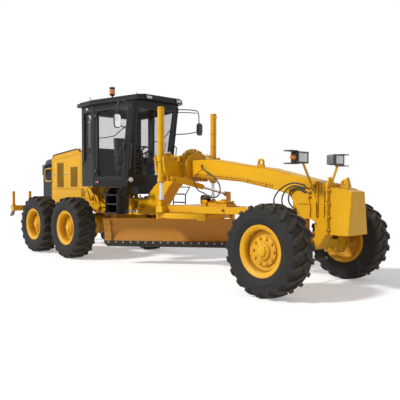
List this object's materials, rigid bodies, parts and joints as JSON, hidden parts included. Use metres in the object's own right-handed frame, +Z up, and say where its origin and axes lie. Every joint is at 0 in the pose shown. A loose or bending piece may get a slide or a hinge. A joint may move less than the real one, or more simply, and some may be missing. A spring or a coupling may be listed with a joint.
{
  "type": "motor grader",
  "caption": "Articulated road grader: blade on a turning circle slung below an arched front frame, leaning steered front wheels, tandem rear drive, glazed cab, hooded engine and rear ripper.",
  "frame": {"origin": "on the ground below the middle of the machine's bounding box", "axes": "+X forwards along the machine, +Y to the driver's left, +Z up"},
  "size_m": [9.89, 2.599, 3.76],
  "materials": {
    "yellow_paint": "semi-gloss machine enamel, lightly dusted",
    "dark_paint": "satin charcoal enamel",
    "engine_iron": "painted casting, oily",
    "exhaust_steel": "heat-dulled steel",
    "glass": "clear safety glass",
    "seat_fabric": "woven black seat cloth",
    "edge_steel": "worn dark hardened steel",
    "chrome_rod": "ground hard chrome",
    "tyre_rubber": "dusty black rubber",
    "hose_rubber": "matt black hydraulic hose"
  },
  "bodies": {
    "rear_frame": {"rear_frame": "yellow_paint", "engine": "engine_iron", "hood": "yellow_paint", "radiator_guard": "dark_paint", "exhaust": "exhaust_steel", "cab_floor": "dark_paint", "cab_frame": "dark_paint", "cab_roof": "dark_paint", "cab_glass": "glass", "seat": "seat_fabric", "mirrors": "dark_paint", "steps": "yellow_paint"},
    "front_frame": {"front_frame": "yellow_paint", "saddle": "yellow_paint", "nose_block": "yellow_paint", "lifting_eyes": "yellow_paint", "head_lamps": "dark_paint", "hoses": "hose_rubber"},
    "front_axle": {"front_axle": "yellow_paint"},
    "lean_bar": {"lean_bar": "yellow_paint"},
    "tie_rod": {"tie_rod": "edge_steel"},
    "drawbar_ball": {"drawbar_ball": "edge_steel"},
    "drawbar": {"drawbar": "yellow_paint"},
    "circle": {"circle": "yellow_paint"},
    "blade_carrier": {"blade_carrier": "yellow_paint"},
    "blade": {"moldboard": "yellow_paint", "cutting_edge": "edge_steel"},
    "shift_barrel": {"shift_barrel": "yellow_paint"},
    "shift_rod": {"shift_rod": "chrome_rod"},
    "ripper": {"ripper": "yellow_paint"},
    "ripper_barrel": {"ripper_barrel": "yellow_paint"},
    "ripper_rod": {"ripper_rod": "chrome_rod"},
    "door_left": {"door_left": "dark_paint"},
    "tandem_left": {"tandem_case_left": "yellow_paint"},
    "lean_bracket_left": {"lean_bracket_left": "yellow_paint"},
    "knuckle_left": {"knuckle_left": "yellow_paint"},
    "lift_barrel_left": {"lift_barrel_left": "yellow_paint"},
    "lift_rod_left": {"lift_rod_left": "chrome_rod"},
    "artic_barrel_left": {"artic_barrel_left": "yellow_paint"},
    "artic_rod_left": {"artic_rod_left": "chrome_rod"},
    "wheel_front_left": {"tyre_front_left": "tyre_rubber", "rim_front_left": "yellow_paint"},
    "wheel_middle_left": {"tyre_middle_left": "tyre_rubber", "rim_middle_left": "yellow_paint"},
    "wheel_rear_left": {"tyre_rear_left": "tyre_rubber", "rim_rear_left": "yellow_paint"},
    "door_right": {"door_right": "dark_paint"},
    "tandem_right": {"tandem_case_right": "yellow_paint"},
    "lean_bracket_right": {"lean_bracket_right": "yellow_paint"},
    "knuckle_right": {"knuckle_right": "yellow_paint"},
    "lift_barrel_right": {"lift_barrel_right": "yellow_paint"},
    "lift_rod_right": {"lift_rod_right": "chrome_rod"},
    "artic_barrel_right": {"artic_barrel_right": "yellow_paint"},
    "artic_rod_right": {"artic_rod_right": "chrome_rod"},
    "wheel_front_right": {"tyre_front_right": "tyre_rubber", "rim_front_right": "yellow_paint"},
    "wheel_middle_right": {"tyre_middle_right": "tyre_rubber", "rim_middle_right": "yellow_paint"},
    "wheel_rear_right": {"tyre_rear_right": "tyre_rubber", "rim_rear_right": "yellow_paint"}
  },
  "joints": [
    {"name": "articulation", "type": "hinge", "parent": "rear_frame", "child": "front_frame", "pos_m": [-0.19, 0, 1], "axis": [0, 0, 1], "range_deg": [-25, 25]},
    {"name": "axle_oscillation", "type": "hinge", "parent": "front_frame", "child": "front_axle", "pos_m": [4.16, 0, 0.7], "axis": [1, 0, 0], "range_deg": [-15, 15]},
    {"name": "lean_left", "type": "hinge", "parent": "front_axle", "child": "lean_bracket_left", "pos_m": [4.16, 0.69, 0.63], "axis": [1, 0, 0], "range_deg": [-17, 17]},
    {"name": "lean_right", "type": "hinge", "parent": "front_axle", "child": "lean_bracket_right", "pos_m": [4.16, -0.69, 0.63], "axis": [1, 0, 0], "range_deg": [-18, 18]},
    {"name": "lean_bar", "type": "hinge", "parent": "lean_bracket_left", "child": "lean_bar", "pos_m": [4.16, 0.69, 0.835], "axis": [1, 0, 0], "range_deg": [-18, 18]},
    {"name": "steer_left", "type": "hinge", "parent": "lean_bracket_left", "child": "knuckle_left", "pos_m": [4.16, 0.85, 0.6647], "axis": [0, 0, 1], "range_deg": [-45, 45]},
    {"name": "steer_right", "type": "hinge", "parent": "lean_bracket_right", "child": "knuckle_right", "pos_m": [4.16, -0.85, 0.6647], "axis": [0, 0, 1], "range_deg": [-46, 46]},
    {"name": "tie_rod", "type": "slide", "parent": "front_axle", "child": "tie_rod", "axis": [0, 1, 0], "range_m": [-0.185, 0.185]},
    {"name": "wheel_front_left", "type": "hinge", "parent": "knuckle_left", "child": "wheel_front_left", "pos_m": [4.16, 1.0775, 0.6647], "axis": [0, 1, 0], "continuous": true},
    {"name": "tandem_left", "type": "hinge", "parent": "rear_frame", "child": "tandem_left", "pos_m": [-2.06, 0.66, 0.6647], "axis": [0, 1, 0], "range_deg": [-15, 15]},
    {"name": "wheel_middle_left", "type": "hinge", "parent": "tandem_left", "child": "wheel_middle_left", "pos_m": [-1.291, 1.0775, 0.6647], "axis": [0, 1, 0], "continuous": true},
    {"name": "wheel_rear_left", "type": "hinge", "parent": "tandem_left", "child": "wheel_rear_left", "pos_m": [-2.829, 1.0775, 0.6647], "axis": [0, 1, 0], "continuous": true},
    {"name": "wheel_front_right", "type": "hinge", "parent": "knuckle_right", "child": "wheel_front_right", "pos_m": [4.16, -1.0775, 0.6647], "axis": [0, 1, 0], "continuous": true},
    {"name": "tandem_right", "type": "hinge", "parent": "rear_frame", "child": "tandem_right", "pos_m": [-2.06, -0.66, 0.6647], "axis": [0, 1, 0], "range_deg": [-15, 15]},
    {"name": "wheel_middle_right", "type": "hinge", "parent": "tandem_right", "child": "wheel_middle_right", "pos_m": [-1.291, -1.0775, 0.6647], "axis": [0, 1, 0], "continuous": true},
    {"name": "wheel_rear_right", "type": "hinge", "parent": "tandem_right", "child": "wheel_rear_right", "pos_m": [-2.829, -1.0775, 0.6647], "axis": [0, 1, 0], "continuous": true},
    {"name": "drawbar_yaw", "type": "hinge", "parent": "front_frame", "child": "drawbar_ball", "pos_m": [3.75, 0, 0.95], "axis": [0, 0, 1], "range_deg": [-8, 8]},
    {"name": "drawbar_pitch", "type": "hinge", "parent": "drawbar_ball", "child": "drawbar", "pos_m": [3.75, 0, 0.95], "axis": [0, 1, 0], "range_deg": [-19, 2.4]},
    {"name": "circle_turn", "type": "hinge", "parent": "drawbar", "child": "circle", "pos_m": [1.5, 0, 1.02], "axis": [0, 0, 1], "continuous": true},
    {"name": "blade_tilt", "type": "hinge", "parent": "circle", "child": "blade_carrier", "pos_m": [1.30407, 0.24023, 0.51], "axis": [0.7749, 0.632, 0], "range_deg": [0, 35]},
    {"name": "blade_shift", "type": "slide", "parent": "blade_carrier", "child": "blade", "axis": [-0.7749, -0.632, 0], "range_m": [-0.6, 0.4]},
    {"name": "lift_lean_left", "type": "hinge", "parent": "front_frame", "child": "lift_barrel_left", "pos_m": [1.29, 0.69, 2.085], "axis": [1, 0, 0], "range_deg": [-24, 24]},
    {"name": "lift_rod_left", "type": "slide", "parent": "lift_barrel_left", "child": "lift_rod_left", "axis": [0, 0, -1], "range_m": [-0.11, 0.82]},
    {"name": "lift_lean_right", "type": "hinge", "parent": "front_frame", "child": "lift_barrel_right", "pos_m": [1.29, -0.69, 2.085], "axis": [1, 0, 0], "range_deg": [-24, 24]},
    {"name": "lift_rod_right", "type": "slide", "parent": "lift_barrel_right", "child": "lift_rod_right", "axis": [0, 0, -1], "range_m": [-0.11, 0.82]},
    {"name": "shift_barrel", "type": "hinge", "parent": "front_frame", "child": "shift_barrel", "pos_m": [1.515, -0.585, 1.712], "axis": [0.9603, -0.2788, 0], "range_deg": [-30, 6]},
    {"name": "shift_rod", "type": "slide", "parent": "shift_barrel", "child": "shift_rod", "axis": [0.2699, 0.9298, -0.2502], "range_m": [-0.27, 0.27]},
    {"name": "artic_barrel_left", "type": "hinge", "parent": "rear_frame", "child": "artic_barrel_left", "pos_m": [-0.96, 0.49, 1.05], "axis": [0, 0, 1], "range_deg": [-7, 7]},
    {"name": "artic_rod_left", "type": "slide", "parent": "artic_barrel_left", "child": "artic_rod_left", "axis": [0.9947, -0.1032, 0], "range_m": [-0.18, 0.18]},
    {"name": "artic_barrel_right", "type": "hinge", "parent": "rear_frame", "child": "artic_barrel_right", "pos_m": [-0.96, -0.49, 1.05], "axis": [0, 0, 1], "range_deg": [-7, 7]},
    {"name": "artic_rod_right", "type": "slide", "parent": "artic_barrel_right", "child": "artic_rod_right", "axis": [0.9947, 0.1032, 0], "range_m": [-0.18, 0.18]},
    {"name": "ripper", "type": "hinge", "parent": "rear_frame", "child": "ripper", "pos_m": [-4.01, 0, 0.86], "axis": [0, 1, 0], "range_deg": [-38, 0]},
    {"name": "ripper_barrel", "type": "hinge", "parent": "rear_frame", "child": "ripper_barrel", "pos_m": [-3.985, 0, 1.33], "axis": [0, 1, 0], "range_deg": [-25, 1]},
    {"name": "ripper_rod", "type": "slide", "parent": "ripper_barrel", "child": "ripper_rod", "axis": [-0.9309, 0, -0.3654], "range_m": [-0.01, 0.26]},
    {"name": "door_left", "type": "hinge", "parent": "rear_frame", "child": "door_left", "pos_m": [-0.837, 0.803, 2.4], "axis": [0, 0, 1], "range_deg": [0, 90]},
    {"name": "door_right", "type": "hinge", "parent": "rear_frame", "child": "door_right", "pos_m": [-0.837, -0.803, 2.4], "axis": [0, 0, -1], "range_deg": [0, 90]}
  ],
  "couplings": [
    {"joint": "lean_right", "follows": "lean_left", "ratio": 1},
    {"joint": "lean_bar", "follows": "lean_left", "ratio": -1},
    {"joint": "steer_right", "follows": "steer_left", "ratio": 1},
    {"joint": "tie_rod", "follows": "steer_left", "m_per_rad": -0.226},
    {"joint": "lift_lean_left", "follows": "drawbar_yaw", "ratio": -2.9},
    {"joint": "lift_rod_left", "follows": "drawbar_pitch", "m_per_rad": -2.436},
    {"joint": "lift_lean_right", "follows": "drawbar_yaw", "ratio": -2.9},
    {"joint": "lift_rod_right", "follows": "drawbar_pitch", "m_per_rad": -2.436},
    {"joint": "shift_barrel", "follows": "drawbar_pitch", "ratio": 1.5},
    {"joint": "shift_rod", "follows": "drawbar_yaw", "m_per_rad": -1.92},
    {"joint": "artic_barrel_left", "follows": "articulation", "ratio": 0.25},
    {"joint": "artic_rod_left", "follows": "articulation", "m_per_rad": -0.4},
    {"joint": "artic_barrel_right", "follows": "articulation", "ratio": 0.25},
    {"joint": "artic_rod_right", "follows": "articulation", "m_per_rad": 0.4},
    {"joint": "ripper_barrel", "follows": "ripper", "ratio": 0.61},
    {"joint": "ripper_rod", "follows": "ripper", "m_per_rad": -0.377}
  ]
}
